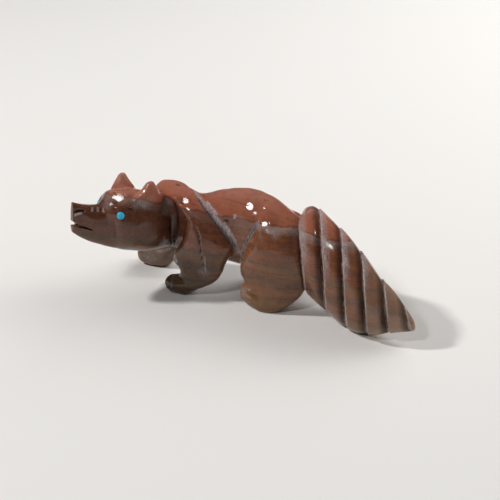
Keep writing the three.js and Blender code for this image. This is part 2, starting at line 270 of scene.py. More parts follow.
for side, sideways, shift in [("near", -1, 0), ("far", 1, FAR_LEG_STEP)]:
    bodies[side + " haunch"] = rings(
        [
            [0.2 + shift, sideways * 1.4, 21.4, 3.0, 3.2, 3.6],
            [0.0 + shift, sideways * 3.2, 19.2, 4.0, 5.2, 5.0],
            [-0.2 + shift, sideways * 4.3, 15.0, 4.2, 6.6, 6.2],
            [-0.1 + shift, sideways * 4.5, 11.0, 4.0, 7.6, 8.3],
            [-0.2 + shift, sideways * 4.7, 7.6, 3.9, 7.8, 8.4],
            [-0.8 + shift, sideways * 5.1, 4.2, 3.9, 7.2, 5.6],
            [-1.4 + shift, sideways * 5.7, 1.4, 3.7, 5.2, 4.6],
            [-1.6 + shift, sideways * 6.0, -1.0, 3.3, 2.8, 3.4],
        ],
        rise=ALONG_X,
        domes=(0.16, 0.12),
    )
    bodies[side + " hind paw"] = rings(
        [
            [-8.4 + shift, sideways * 4.9, 3.2, 2.2, 1.8, 2.0],
            [-7 + shift, sideways * 5.0, 2.9, 2.8, 2.5, 2.7],
            [-4 + shift, sideways * 5.6, 2.2, 3.5, 2.6, 2.8],
            [-1 + shift, sideways * 5.9, 2.0, 3.3, 2.4, 2.4],
        ],
        rise=ALONG_Z,
        domes=(0.14, 0.2),
    )
print("bodies so far:", sorted(bodies))

# %% [markdown]
# ## Head
#
# The head is drawn looking along +X, with its left side at +Y, and then turned to look out to the
# near side of the fox and rolled a little. The skull is a broad egg, the muzzle a squarer bar that
# rises toward the nose, and the ears are blunt cones.

# %% Head and ears
HEAD_BASE = np.array([-31.4, -2.5, 0.0])
HEAD_TURN = math.radians(46)
HEAD_ROLL = math.radians(6)
head_turn = np.array((Matrix.Rotation(math.pi + HEAD_TURN, 3, "Z") @ Matrix.Rotation(HEAD_ROLL, 3, "X")))


def from_head(points):
    """Head steps to the fox's own grid steps."""
    return np.asarray(points, float) @ head_turn.T + HEAD_BASE


def brow(sideways, forward):
    return rings(
        [
            [5.5 + forward, sideways * 3.4, 21.2, 2.0, 2.0, 2.0],
            [9.2 + forward, sideways * 3.9, 21.3, 2.4, 2.4, 2.4],
            [12.9 + forward, sideways * 2.9, 20.9, 1.9, 1.9, 1.9],
        ],
        rise=ALONG_Z,
        domes=(0.3, 0.3),
    )


def ear(sideways, forward, wide):
    return rings(
        [
            [1.6 + forward, sideways * 3.7, 20.6, 1.9 * wide, 2.7 * wide, 2.4 * wide],
            [1.8 + forward, sideways * 4.6, 23.0, 1.6 * wide, 2.8 * wide, 2.7 * wide],
            [1.6 + forward, sideways * 5.1, 25.2, 1.1 * wide, 1.6 * wide, 1.65 * wide],
            [1.3 + forward, sideways * 5.4, 27.2, 0.5 * wide, 0.55 * wide, 0.55 * wide],
        ],
        rise=-ALONG_X,
        domes=(0.2, 0.08),
    )


def ear_root():
    """The low ridge that leads from the brow up to the near ear."""
    return rings(
        [
            [1.6, 5.0, 24.8, 1.1, 1.1, 2.0],
            [4.0, 4.7, 23.9, 1.4, 1.2, 2.0],
            [6.8, 4.0, 22.4, 1.6, 1.2, 2.0],
        ],
        rise=ALONG_Z,
        domes=(0.3, 0.4),
    )


skull = rings(
    [
        [-7, 0, 16.0, 4.6, 6.2, 6.8],
        [-3, 0, 16.2, 5.5, 6.6, 7.4],
        [1, 0, 16.6, 6.4, 7.0, 7.8],
        [5, 0, 17.4, 6.7, 7.2, 7.7],
        [8.6, 0, 18.2, 6.4, 6.7, 7.4],
        [12.0, 0, 18.6, 5.0, 4.8, 6.3],
    ],
    rise=ALONG_Z,
    domes=(0.12, 0.18),
)
muzzle = rings(
    [
        [4, 0, 16.6, 4.2, 5.0, 6.2],
        [8, 0, 17.0, 4.2, 5.0, 6.1],
        [12, 0, 17.8, 3.4, 4.2, 5.5],
        [16, 0, 19.2, 2.5, 3.7, 4.6],
        [19.1, 0, 20.9, 0.9, 3.3, 3.9],
    ],
    rise=ALONG_Z,
    power=3.4,
    domes=(0.2, 0.001),
)
NOSE_LEAN = 0.09
NOSE_TOP = 22
LEAN_FROM = 12
LEAN_OVER = 6
forward = np.clip((muzzle[..., 0] - LEAN_FROM) / LEAN_OVER, 0, 1)
muzzle[..., 0] += NOSE_LEAN * (NOSE_TOP - muzzle[..., 2]) * forward
head_bodies = {
    "skull": skull,
    "muzzle": muzzle,
    "near brow": brow(1, -0.9),
    "far brow": brow(-1, -1.5),
    "near ear": ear(1, 0.0, 1.26),
    "near ear root": ear_root(),
    "far ear": ear(-1, 2.5, 1.15),
}
for name, shape in head_bodies.items():
    bodies[name] = from_head(shape)

# %% [markdown]
# ## Camera
#
# The camera comes before the fine carving, because small marks are placed by where the photograph
# shows them: a ray through that place of the picture meets the stone, and the cut starts there. The
# picture is 500 by 500, seen from the front right and from above. The place of the front lamp is set
# here too, because small flats are ground later so that they mirror it.

# %% Camera
PICTURE = 500
FOCAL_PIXELS = 1385.6
CAMERA_AT = on_grid(82.92, -279.82, 148.24)
LOOKS_AT = on_grid(-6.7, -4.0, 13.0)

look = unit(LOOKS_AT - CAMERA_AT)
look_right = unit(np.cross(look, ALONG_Z))
look_up = np.cross(look_right, look)

camera_data = bpy.data.cameras.new("camera")
camera_data.sensor_width = 36
camera_data.lens = FOCAL_PIXELS * camera_data.sensor_width / PICTURE
camera_data.clip_start = 0.01
camera_data.clip_end = 20
camera = bpy.data.objects.new("camera", camera_data)
camera.location = CAMERA_AT * METRES
camera.rotation_euler = Vector(look).to_track_quat("-Z", "Y").to_euler()
bpy.context.scene.collection.objects.link(camera)
bpy.context.scene.camera = camera
print("lens:", round(camera_data.lens, 1), "mm")


FRONT_LAMP = dict(azimuth=-25, elevation=46, distance=0.7)
AIM = on_grid(-4, -4, 10) * METRES


def lamp_place(azimuth, elevation, distance, aim=AIM):
    """Azimuth 0 is the front and -90 the left. In metres, with the direction from the aim."""
    a, e = math.radians(azimuth), math.radians(elevation)
    toward = np.array([math.sin(a) * math.cos(e), -math.cos(a) * math.cos(e), math.sin(e)])
    return np.array(aim) + toward * distance, toward


def seen_on(tree, x, y):
    """Where the stone is seen at a place of the picture, and its normal there."""
    toward = unit(look * FOCAL_PIXELS + look_right * (x - PICTURE / 2) + look_up * (PICTURE / 2 - y))
    return tree.ray_cast(Vector(CAMERA_AT), Vector(toward))


# %% [markdown]
# ## One stone
#
# The bodies overlap, and a real carving has no seams. A voxel remesh lays one even skin over all of
# them. Where two bodies meet, the skin has a sharp inside corner, which a carver's wheel can't reach,
# so the corners are filled by moving only the hollow places outward. A last light smoothing takes
# away the voxel steps.

# %% Skin over the bodies
VOXEL = 0.27
FILL_PASSES = 40
SMOOTH_PASSES = 6
SHRINK = 0.5
SWELL_BACK = 0.52


def apply_modifier(piece, name, kind, **settings):
    """Adds one modifier and bakes it into the mesh."""
    modifier = piece.modifiers.new(name, kind)
    for key, value in settings.items():
        setattr(modifier, key, value)
    baked = bpy.data.meshes.new_from_object(piece.evaluated_get(bpy.context.evaluated_depsgraph_get()))
    piece.modifiers.clear()
    piece.data = baked


def points_of(mesh):
    points = np.empty(len(mesh.vertices) * 3, np.float32)
    mesh.vertices.foreach_get("co", points)
    return points.reshape(-1, 3).astype(float)


def normals_of(mesh):
    normals = np.empty(len(mesh.vertices) * 3, np.float32)
    mesh.vertex_normals.foreach_get("vector", normals)
    return normals.reshape(-1, 3).astype(float)


def move_points(mesh, points):
    mesh.vertices.foreach_set("co", points.astype(np.float32).ravel())
    mesh.update()


def edges_of(mesh):
    edges = np.empty(len(mesh.edges) * 2, np.int32)
    mesh.edges.foreach_get("vertices", edges)
    return edges.reshape(-1, 2)


def pull_to_neighbours(points, edges):
    """From each point to the middle of its neighbours."""
    both = np.concatenate([edges, edges[:, ::-1]])
    count = np.bincount(both[:, 0], minlength=len(points))
    total = np.stack([np.bincount(both[:, 0], points[both[:, 1], k], len(points)) for k in range(3)], -1)
    return total / count[:, None] - points


shapes, faces, start = [], [], 0
for shape in bodies.values():
    rows, around = shape.shape[:2]
    shapes.append(shape.reshape(-1, 3) * GRID + SHIFT)
    faces += [[start + corner for corner in quad] for quad in ring_faces(rows, around)]
    start += rows * around
stone = mesh_object("stone", np.concatenate(shapes), faces)
apply_modifier(stone, "Skin", "REMESH", mode="VOXEL", voxel_size=VOXEL)

points, edges = points_of(stone.data), edges_of(stone.data)
for step in range(FILL_PASSES):
    normals = normals_of(stone.data)
    pull = pull_to_neighbours(points, edges)
    hollow = np.maximum((pull * normals).sum(1, keepdims=True), 0)
    points += normals * hollow
    move_points(stone.data, points)
for step in range(SMOOTH_PASSES):
    points += SHRINK * pull_to_neighbours(points, edges)
    points -= SWELL_BACK * pull_to_neighbours(points, edges)
move_points(stone.data, points)
print("skin:", len(stone.data.vertices), "points")

# %% [markdown]
# ## Muscles and hollows
#
# Between the big bodies a carver leaves softer forms: the brow over the eye, the hollow of the loin,
# the ridge of the hip. They are pushed and pulled in the skin, each along a short route. A slow ripple
# all over, a few hundredths of a millimetre high, stands for polishing by hand: it breaks up the
# reflections as the real stone does. Last come small flats, such as a wheel leaves. Each faces so
# that it mirrors the front lamp, because that is how the photograph's bright spots come about.


# %% Push and pull
def tree_of(mesh, points):
    return BVHTree.FromPolygons(points.tolist(), [list(face.vertices) for face in mesh.polygons])


def within(points, line, reach):
    """Which points lie in the box round a line, widened by a reach."""
    return np.flatnonzero(((points > line.min(0) - reach) & (points < line.max(0) + reach)).all(1))


def line_on_stone(tree, picture_route, step=0.2):
    """A smooth line on the stone through places of the picture, with its direction and normals."""
    hits = [seen_on(tree, x, y) for x, y in picture_route]
    missed = [spot for spot, hit in zip(picture_route, hits) if hit[0] is None]
    if missed:
        print("not on the stone:", missed)
    spots = np.array([hit[0] for hit in hits if hit[0] is not None])
    length = np.linalg.norm(np.diff(spots, axis=0), axis=1).sum()
    line = curve(spots, np.linspace(0, 1, max(8, int(length / step))))
    snapped = [tree.find_nearest(Vector(spot)) for spot in line]
    line = np.array([hit[0] for hit in snapped])
    return line, unit(np.gradient(line, axis=0)), np.array([hit[1] for hit in snapped])


def ripple(points, wavelength, seed):
    """A slow unevenness between -1 and 1, as a sum of waves in different directions."""
    chance = np.random.default_rng(seed)
    waves = unit(chance.normal(size=(14, 3))) * chance.uniform(0.7, 1.5, (14, 1)) * 2 * np.pi / wavelength
    return np.sin(points @ waves.T + chance.uniform(0, 2 * np.pi, 14)).sum(1) / 5


def mould(tree, points, normals, picture_route, radius, height):
    """Raises the skin along a route, or sinks it where the height is below zero."""
    line, _, out = line_on_stone(tree, picture_route)
    near = within(points, line, 2.5 * radius)
    away = np.linalg.norm(points[near, None] - line[None], axis=2)
    closest = away.argmin(1)
    facing = np.clip((normals[near] * out[closest]).sum(1) * 2, 0, 1)
    lift = height * np.exp(-((away.min(1) / radius) ** 2)) * facing
    points[near] += normals[near] * lift[:, None]


def flatten(tree, points, picture_spot, radius):
    """Grinds a small flat where the photograph shows a bright spot, facing so that it mirrors the lamp."""
    spot = np.array(seen_on(tree, *picture_spot)[0])
    lamp_at = lamp_place(**FRONT_LAMP)[0] / METRES
    shine = unit(unit(lamp_at - spot) + unit(CAMERA_AT - spot))
    away = points - spot
    share = np.clip(2 - 2 * np.linalg.norm(away, axis=1) / radius, 0, 1)
    share = FLATNESS * share**2 * (3 - 2 * share)
    points -= np.outer((away @ shine) * share, shine)


FLATNESS = 0.95
FORMS = {
    "near brow": ([(109, 202), (113, 199), (118, 197.5), (123, 198)], 1.6, 0.3),
    "hollow before the near ear": ([(131, 193), (136, 200)], 1.6, -0.35),
    "eye hollow": ([(112, 212), (116, 209), (124, 206)], 1.3, -0.35),
    "cheek": ([(124, 226), (134, 232)], 3.5, 0.25),
    "neck recess": ([(172, 206), (174, 220), (173, 240)], 1.6, -0.7),
    "loin hollow": ([(260, 207), (257.5, 219), (253, 229)], 1.7, -0.55),
    "hip ridge": ([(266, 208), (266, 222), (265, 230)], 1.6, 0.45),
    "flank": ([(236, 224), (238, 236)], 2.2, -0.35),
}
FLATS = {
    "brow": ((118.5, 197.5), 2.8),
    "brow front": ((111.5, 203.5), 1.3),
    "near ear": ((143.4, 191.6), 0.9),
    "mane": ((185.6, 200), 1.8),
    "back": ((250, 206), 1.8),
    "loin": ((264.5, 208), 0.9),
    "hip": ((265, 224), 1.5),
}
RIPPLES = {"fine": (0.035, 3.4, 3), "broad": (0.05, 8, 5)}

points, normals = points_of(stone.data), normals_of(stone.data)
tree = tree_of(stone.data, points)
for route, radius, height in FORMS.values():
    mould(tree, points, normals, route, radius, height)
unevenness = sum(height * ripple(points, wave, seed) for height, wave, seed in RIPPLES.values())
points += normals * unevenness[:, None]
for spot, radius in FLATS.values():
    flatten(tree, points, spot, radius)
move_points(stone.data, points)
print("forms moulded:", ", ".join(FORMS))

# %% [markdown]
# ## Tail
#
# The tail is a thick spindle that leans on the ground, with flutes cut round it like a screw. The
# rows of its mesh follow the screw, so each flute keeps its crisp edge: a band falls slowly from the
# edge toward the tip, and a steep wall climbs to the next edge. The skin above would round these
# edges, so the tail is made on its own and joined to the stone afterwards.

# %% Fluted tail
FLUTES = 6
FLUTE_DEPTH = 2.2
FLUTE_WALL = 0.08
FLUTE_CREST = 0.14
FLUTE_RUN_OUT = 0.18
FIRST_FLUTE = -0.02
LAST_FLUTE = 1.06
TAIL_SIDE = unit(np.array([-0.25, 1, 0]))
TAIL_AROUND = 140
TAIL_DOMES = (0.08, 0.02)
ROWS_PER_FLUTE = 24

tail_stations = np.array(
    [
        [3.5, -1.2, 15.2, 7.4, 6.8, 9.2],
        [8.0, -2.8, 14.6, 8.7, 10.4, 11.6],
        [12.6, -4.9, 12.0, 8.7, 11.3, 11.2],
        [17.0, -7.3, 9.4, 8.3, 11.9, 10.0],
        [21.4, -9.5, 7.2, 7.4, 11.0, 7.8],
        [25.8, -11.3, 5.8, 5.6, 8.4, 5.0],
        [30.0, -12.4, 5.0, 3.6, 6.0, 2.6],
        [34.4, -12.9, 4.2, 0.9, 1.1, 0.9],
    ]
)


def flute_fall(share):
    """How deep a band has fallen, as a share of the depth, at a share of the way to the next edge."""
    band = np.clip(share / (1 - FLUTE_WALL), 0, 1)
    wall = np.clip((share - (1 - FLUTE_WALL)) / FLUTE_WALL, 0, 1)
    return band**3 * (1 - wall)


spacing = (LAST_FLUTE - FIRST_FLUTE) / FLUTES
band_rows = np.linspace(0, 1 - FLUTE_WALL, ROWS_PER_FLUTE - 4, endpoint=False)
wall_rows = 1 - FLUTE_WALL * np.array([1, 0.75, 0.5, 0.25])
shares = np.concatenate([band_rows, wall_rows])
turns = np.arange(-1, FLUTES)
screw = np.concatenate([turn + shares for turn in turns] + [[FLUTES]])
share = np.concatenate([shares] * len(turns) + [[0]])
u = np.linspace(0, 1, TAIL_AROUND + 1)
t = np.clip(FIRST_FLUTE + spacing * (screw[:, None] + u[None, :]), 0, 1)
angle = 2 * np.pi * (u % 1)[None, :]
half = curve(tail_stations[:, 3:], t.ravel()).reshape(*t.shape, 3) * closing(t, *TAIL_DOMES)[..., None]
sideness = FLUTE_CREST + (1 - FLUTE_CREST) * np.cos(angle) ** 4
depth = FLUTE_DEPTH * sideness * np.minimum(1, ((1 - t) / FLUTE_RUN_OUT) ** 2)
deep = 1 - flute_fall(share)[:, None] * depth / np.maximum(half[..., 0], 0.01)
path = curve(tail_stations[:, :3], t.ravel()).reshape(*t.shape, 3)
reach = np.where(angle < np.pi, half[..., 1], half[..., 2])
tail_points = path + TAIL_SIDE * (deep * np.cos(angle) * half[..., 0])[..., None]
tail_points += ALONG_Z * (deep * np.sin(angle) * reach)[..., None]
tail_points = tail_points * GRID + SHIFT
print("tail rows and columns:", tail_points.shape[:2])


# %% [markdown]
# Two neighbouring rows end where the next turn of the screw begins, so the sheet closes on itself
# once its doubled points are welded.

# %% Tail mesh
def sheet_faces(rows, columns):
    corner = np.arange(rows * columns).reshape(rows, columns)
    quads = np.stack([corner[:-1, :-1], corner[:-1, 1:], corner[1:, 1:], corner[1:, :-1]], -1)
    return quads.reshape(-1, 4).tolist()


tail = mesh_object("tail", tail_points, sheet_faces(*tail_points.shape[:2]))
print("tail faces:", len(tail.data.polygons))


# %% [markdown]
# ## Saw cuts and drill holes
#
# The tail is joined to the stone, and what lies under the ground is cut off flat. The mouth is sawn
# from both sides, and right through only at the tip of the muzzle, and the eye sockets are drilled.
# Vertices moved by hand would round these edges, but a boolean keeps them sharp, as a saw does.

# %% Join the tail and cut
EYE_DIAMETER = 1.8
EYE_DEPTH = 1.5
CEMENT_LINE = 0.07
DRILL_ABOVE = 2
EYE_SEATS = {
    "eye_left": ([9.3, 5.4, 20.4], [-0.35, -0.89, -0.29]),
    "eye_right": ([10.8, -4.1, 21.2], [-0.8, 0.5, -0.33]),
}


def cut_with(tool, operation="DIFFERENCE"):
    global stone
    apply_modifier(stone, tool.name, "BOOLEAN", operation=operation, object=tool, solver="MANIFOLD")
    bpy.data.objects.remove(tool)


def block(name, corners):
    """A six-sided body through eight corners: four round its lower face, then four above them."""
    faces = [[3, 2, 1, 0], [4, 5, 6, 7], [0, 1, 5, 4], [1, 2, 6, 5], [2, 3, 7, 6], [3, 0, 4, 7]]
    return mesh_object(name, np.array(corners, float), faces)


def spun(name, outline, pose, around=56):
    """A body spun round its own Y axis from an outline of [radius, height], and set at a pose."""
    angle = np.linspace(0, 2 * np.pi, around, endpoint=False)[None, :]
    radius, height = (np.array(outline, float)[:, k : k + 1] for k in range(2))
    points = np.stack([radius * np.cos(angle), height + 0 * angle, radius * np.sin(angle)], -1)
    points = points.reshape(-1, 3) @ np.array(pose.to_3x3()).T + np.array(pose.translation)
    return mesh_object(name, points, ring_faces(len(outline), around))


def eye_pose(tree, seat, aim):
    aim = unit(np.array(aim)) @ head_turn.T
    near = from_head(seat) * GRID + SHIFT
    seat = tree.ray_cast(Vector(near - 10 * aim), Vector(aim))[0]
    turn = Vector((0, 1, 0)).rotation_difference(Vector(-aim))
    return Matrix.Translation(seat) @ turn.to_matrix().to_4x4()


cut_with(tail, "UNION")
under = [[x, y, z] for z in (-40, 0) for x, y in ((-80, -60), (80, -60), (80, 60), (-80, 60))]
cut_with(block("ground", under))

MOUTH_LINE = [([15.4, 17.35], 0.3), ([17.2, 18.16], 0.6), ([18.4, 18.7], 0.9), ([20.6, 19.65], 1.7)]
MOUTH_REACH = 10
MOUTH_CORE = 0.9
FROM_BOTH_SIDES = [(-MOUTH_REACH, -MOUTH_CORE), (MOUTH_CORE, MOUTH_REACH)]
RIGHT_THROUGH = [(-MOUTH_REACH, MOUTH_REACH)]
MOUTH_CUTS = [FROM_BOTH_SIDES, FROM_BOTH_SIDES, RIGHT_THROUGH]
for sides, (start, start_gap), (end, end_gap) in zip(MOUTH_CUTS, MOUTH_LINE, MOUTH_LINE[1:]):
    for left, right in sides:
        corners = [(start, start_gap, left), (end, end_gap, left)]
        corners += [(end, end_gap, right), (start, start_gap, right)]
        wedge = [[x, y, z + side * gap / 2] for side in (-1, 1) for (x, z), gap, y in corners]
        cut_with(block("mouth", from_head(wedge) * GRID + SHIFT))

tree = tree_of(stone.data, points_of(stone.data))
eye_poses = {name: eye_pose(tree, *place) for name, place in EYE_SEATS.items()}
socket_radius = EYE_DIAMETER / 2 + CEMENT_LINE
socket_depth = EYE_DEPTH + CEMENT_LINE
drill = [[0, -socket_depth], [socket_radius, -socket_depth]]
drill += [[socket_radius, DRILL_ABOVE], [0, DRILL_ABOVE]]
for name, pose in eye_poses.items():
    cut_with(spun(name + " socket", drill, pose))
print("stone after the cuts:", len(stone.data.vertices), "points")

# %% [markdown]
# ## Fine carving
#
# The carver marked the legs, the ears and the face with the edge of a small grinding wheel. Each
# such line is scored into the finished skin: points near a route sink along their normals. The same
# step notes how pale and matte each point is made, which is a freshly ground cut in most places and
# painted light in a few, and how dark it is painted, which is painted shade in cuts, hollows and
# flute valleys and the stone's own darkness along one vein, so that the material can darken it.

# %% How a line is scored
place = points_of(stone.data)
normal = normals_of(stone.data)
# How pale and matte each point is made: ground cuts and wear, and a few places of painted light.
ground = np.zeros(len(place))
# How dark each point is painted: painted shade in cuts, hollows and flute valleys, and one dark vein of the
# stone.
dark = np.zeros(len(place))
sink = np.zeros(len(place))
tree = tree_of(stone.data, place)


def score(route, left, right, deep=0.0, tone=0.0, shade=0.0, ends=0.15):
    """Sinks a line. Its widths are to its left and right in millimetres, for a route drawn downward."""
    line, along, out = line_on_stone(tree, route)
    reach = max(left, right) + 0.3
    near = within(place, line, reach)
    away = np.linalg.norm(place[near, None] - line[None], axis=2)
    closest = away.argmin(1)
    offset = place[near] - line[closest]
    side = (np.cross(along[closest], out[closest]) * offset).sum(1)
    facing = (normal[near] * out[closest]).sum(1) > 0.1
    width = np.where(side > 0, left, right)
    share = np.clip(1 - away[np.arange(len(near)), closest] / width, 0, 1) * facing
    along_share = closest / (len(line) - 1)
    if ends:
        share = share * np.clip(np.minimum(along_share, 1 - along_share) / ends, 0, 1) ** 0.5
    crispness = 2.5 if deep else 1.2
    sink[near] = np.maximum(sink[near], deep * share)
    ground[near] = np.maximum(ground[near], tone * np.clip(share * crispness, 0, 1))
    dark[near] = np.maximum(dark[near], shade * np.clip(share * 2 - 0.6, 0, 1))


# %% [markdown]
# ## The marks
#
# Every mark has a name and a route through places of the picture. Its numbers are the width to its
# left and to its right, the depth in millimetres, a tone for how pale it is made, and a shade for
# how dark it is painted. The tone is ground paleness, apart from painted highlights on the nostril's
# lip and the nose wrinkles. The shade is painted shade in the cuts, apart from the vein on the back,
# which is the stone's own darkness. The deepest run behind the near shoulder and in front of the near
# haunch.

# %% Marks of the body
BODY_MARKS = {
    "shoulder edge": (
        [(193, 190), (201, 203), (208, 212), (215, 222), (225, 235), (233, 246), (238, 254)],
        (0.3, 1.3, 0.85, 0.9, 0.6),
    ),
    "pale band behind it": ([(207, 205), (214, 213), (222, 223), (230, 236)], (1.0, 1.2, 0, 0.22, 0)),
    "haunch edge": (
        [(259, 221), (253, 231), (247, 241), (243, 250), (241, 258)],
        (0.6, 0.5, 0.6, 1.0, 0.6),
    ),
    "front leg line": ([(196, 226), (199.3, 238), (201, 254), (204, 270)], (0.32, 0.25, 0.35, 0.3, 1.0)),
    "its pale end": ([(204.5, 256), (205, 266), (205.5, 272)], (0.25, 0.25, 0.08, 0.6, 0)),
    "vein on the back": (
        [(218, 197), (232, 200.5), (244.5, 204.3), (250, 204.8)],
        (0.3, 0.3, 0.03, 0, 0.5),
    ),
    "chip on the back": ([(235, 213.8), (234.2, 219)], (0.4, 0.4, 0.1, 1.0, 0)),
}
WHEEL_MARKS = [
    [(206, 201), (211, 207), (217.5, 215)],
    [(203, 203), (209, 210), (216, 218), (222, 225)],
    [(219, 221), (226, 231), (232, 241), (237, 251)],
    [(223, 222), (230, 232), (236, 243)],
]
FRONT_TOES = [[(168, 276), (167, 281), (168, 285)], [(173, 275), (171.5, 281), (172, 288)]]
HIND_TOES = [[(243, 287), (247, 289), (251, 290)], [(243, 292), (247, 296), (251, 298)]]
for route, numbers in BODY_MARKS.values():
    score(route, *numbers)
for route in WHEEL_MARKS:
    score(route, 0.35, 0.35, deep=0.1, tone=1.0)
for route in FRONT_TOES:
    score(route, 0.35, 0.35, deep=0.3, tone=0.4, shade=0.5)
for route in HIND_TOES:
    score(route, 0.3, 0.3, deep=0.15, tone=0.3)
print("marks on the body:", len(BODY_MARKS) + len(WHEEL_MARKS) + len(FRONT_TOES) + len(HIND_TOES))

# %% Marks of the head and neck
HEAD_MARKS = {
    "nostril": ([(85, 210.4), (79, 211.2), (73.7, 212.6)], (0.6, 0.45, 0.7, 0, 1.0)),
    # painted highlight: the pale lip under the nostril
    "its pale lip": ([(83, 213), (78, 214), (74, 215.5)], (0.35, 0.35, 0.05, 0.9, 0)),
    "far ear crease": ([(113, 189.8), (119, 190.3), (126, 189.7), (133, 189.2)], (0.4, 0.4, 0.4, 0, 0.8)),
    "its pale edge": ([(112, 188.2), (119, 188.4), (126, 187.8), (131, 187.6)], (0.35, 0.35, 0.05, 0.3, 0)),
    "near ear's back": ([(155.5, 184), (158, 189), (160, 194)], (0.45, 0.45, 0.12, 0.9, 0)),
    "cheek shade": ([(113, 220), (115.5, 229), (115, 239)], (1.0, 0.5, 0.12, 0, 0.35)),
    "neck groove": ([(171.5, 216), (171, 230), (170.5, 246)], (0.5, 0.5, 0.3, 0, 0.9)),
    "second groove": ([(176.5, 214), (176, 230), (174.5, 247)], (0.5, 0.5, 0.3, 0, 0.9)),
    "neck shade": ([(173, 200), (177, 212), (177, 226), (174, 240)], (1.9, 1.5, 0, 0, 0.75)),
    "pale line below": ([(172, 246), (174, 256), (177, 263)], (0.6, 0.6, 0.15, 0.9, 0)),
    "throat rim": ([(156, 251), (164, 251), (171, 248)], (0.4, 0.4, 0.05, 0.5, 0)),
}
NOSE_WRINKLES = [(92, 209), (97.7, 209), (103, 209.5)]
for route, numbers in HEAD_MARKS.values():
    score(route, *numbers)
# Each nose wrinkle is a cut painted with shade, beside a pale line that is a painted highlight on its
# ridge.
for x, y in NOSE_WRINKLES:
    score([(x - 1.5, y - 1.5), (x - 2, y + 1), (x - 1, y + 3)], 0.4, 0.5, deep=0.35, shade=0.3)
    score([(x + 0.3, y - 2), (x, y + 1), (x + 1, y + 2.6)], 0.3, 0.3, tone=0.8)
print("marks on the head and neck:", len(HEAD_MARKS) + 2 * len(NOSE_WRINKLES))

# %% [markdown]
# ## Scuffs and pits
#
# Handling and the last grinding left some places dull, and the stone itself has a few small pits. A
# scuff is a route, a width and a tone. It sinks nothing, only takes the polish away, and fades out
# toward its ends. The pale patches on the brow, the far front paw and the tail crest are drawn the
# same way, but they are painted light: a painted highlight and painted sheen. A pit is a short line
# of full depth.

# %% Scuffs, pits and the cut itself
SCUFFS_AND_PAINTED_LIGHT = {
    "far ear": ([(117, 181), (121, 179), (126, 183)], 2.2, 0.12),
    # painted highlight: the pale bloom round the bright spot on the brow
    "brow": ([(104, 200), (107, 206), (112, 208)], 1.4, 0.25),
    "under the near ear": ([(131, 205), (139, 204), (148, 206)], 1.7, 0.4),
    "behind the near ear": ([(164, 197), (165.5, 207), (164.5, 216)], 1.3, 0.65),
    # painted light on the far front paw
    "far front paw": ([(143, 252), (149, 257), (157, 262)], 2.4, 0.4),
    "elbow": ([(199, 268), (204, 273), (208, 277)], 1.8, 0.25),
    "haunch": ([(267, 228), (272, 232), (278, 240)], 1.3, 0.35),
    "hind paw": ([(243, 286), (243, 291), (246, 297)], 1.4, 0.35),
    # painted sheen on the first crest of the tail
    "tail crest": ([(303, 218), (308, 212), (313, 210), (319, 215)], 0.9, 0.4),
}
PITS = {
    "chest pit": (226.4, 220.8, 0.55),
    "mane pit": (178, 184.6, 0.45),
    "brow pit": (113.5, 192.6, 0.4),
    "temple pit": (130.5, 208.6, 0.4),
}
for route, wide, tone in SCUFFS_AND_PAINTED_LIGHT.values():
    score(route, wide, wide, tone=tone, ends=0.4)
for x, y, wide in PITS.values():
    score([(x - 1.3, y - 0.3), (x + 1.3, y + 0.4)], wide, wide, deep=0.3, shade=1.0, ends=0)

move_points(stone.data, place - normal * sink[:, None])
print("scored points:", int((sink > 0).sum()))

# %% [markdown]
# ## Walls and valleys of the flutes
#
# The steep walls of the flutes were ground last and never polished, so they are noted as ground too.
# The low side of each band is painted with shade, and the upper edges near the crest are painted
# pale, partly as rubbing and partly as painted sheen. Which row of the tail's mesh a point came from
# tells where it lies between two edges.

# %% Ground marks and shade as attributes
VALLEY_SHADE = 0.78
VALLEY_START = 0.48
VALLEY_SOFTNESS = 0.24
# The pale crests are partly rubbing and partly painted sheen.
RUB_AND_SHEEN = 0.65
RUB_AND_SHEEN_END = 0.3
RUB_AND_SHEEN_FROM_HEIGHT = 12
RUB_AND_SHEEN_RISE = 5
ON_THE_TAIL = 0.05

wall_of_row = (share > 1 - FLUTE_WALL * 1.05).astype(float)
valley_of_row = np.clip((share - VALLEY_START) / VALLEY_SOFTNESS, 0, 1) * (1 - wall_of_row)
rub_and_sheen_of_row = np.clip(1 - share / RUB_AND_SHEEN_END, 0, 1)
tail_quads = np.array(sheet_faces(*tail_points.shape[:2]))
tail_spots = tail_points.reshape(-1, 3)
tail_tree = BVHTree.FromPolygons(tail_spots.tolist(), tail_quads.tolist())
row_of_quad = tail_quads[:, 0] // (TAIL_AROUND + 1)
for k in within(place, tail_spots, 2 * ON_THE_TAIL):
    spot, _, quad, gap = tail_tree.find_nearest(Vector(place[k]))
    if gap < ON_THE_TAIL:
        row = row_of_quad[quad]
        high = np.clip((place[k, 2] - RUB_AND_SHEEN_FROM_HEIGHT) / RUB_AND_SHEEN_RISE, 0, 1)
        walls = (wall_of_row[row] + wall_of_row[row + 1]) / 2
        valleys = (valley_of_row[row] + valley_of_row[row + 1]) / 2
        ground[k] = max(ground[k], walls, RUB_AND_SHEEN * rub_and_sheen_of_row[row] * high)
        dark[k] = max(dark[k], VALLEY_SHADE * valleys)


def note(mesh, name, values):
    mesh.attributes.new(name, "FLOAT", "POINT").data.foreach_set("value", values.astype(np.float32))


# The shade noted here is painted shade, with one dark vein of the stone among it, and the pale marks hold
# painted light in a few places.
note(stone.data, "ground", ground)
note(stone.data, "shade", dark)
print("ground points:", int((ground > 0.5).sum()))

# %% [markdown]
# ## Eyes
#
# Each eye is a small peg of turquoise with a domed face, set in its drilled socket. On the real
# carving dark cement fills the gap round it, and here the gap is left open and lies in shade.
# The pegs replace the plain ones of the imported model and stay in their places.

# %% Eye pegs
EYE_DOME = 0.25
EYE_ROUNDING = 0.12

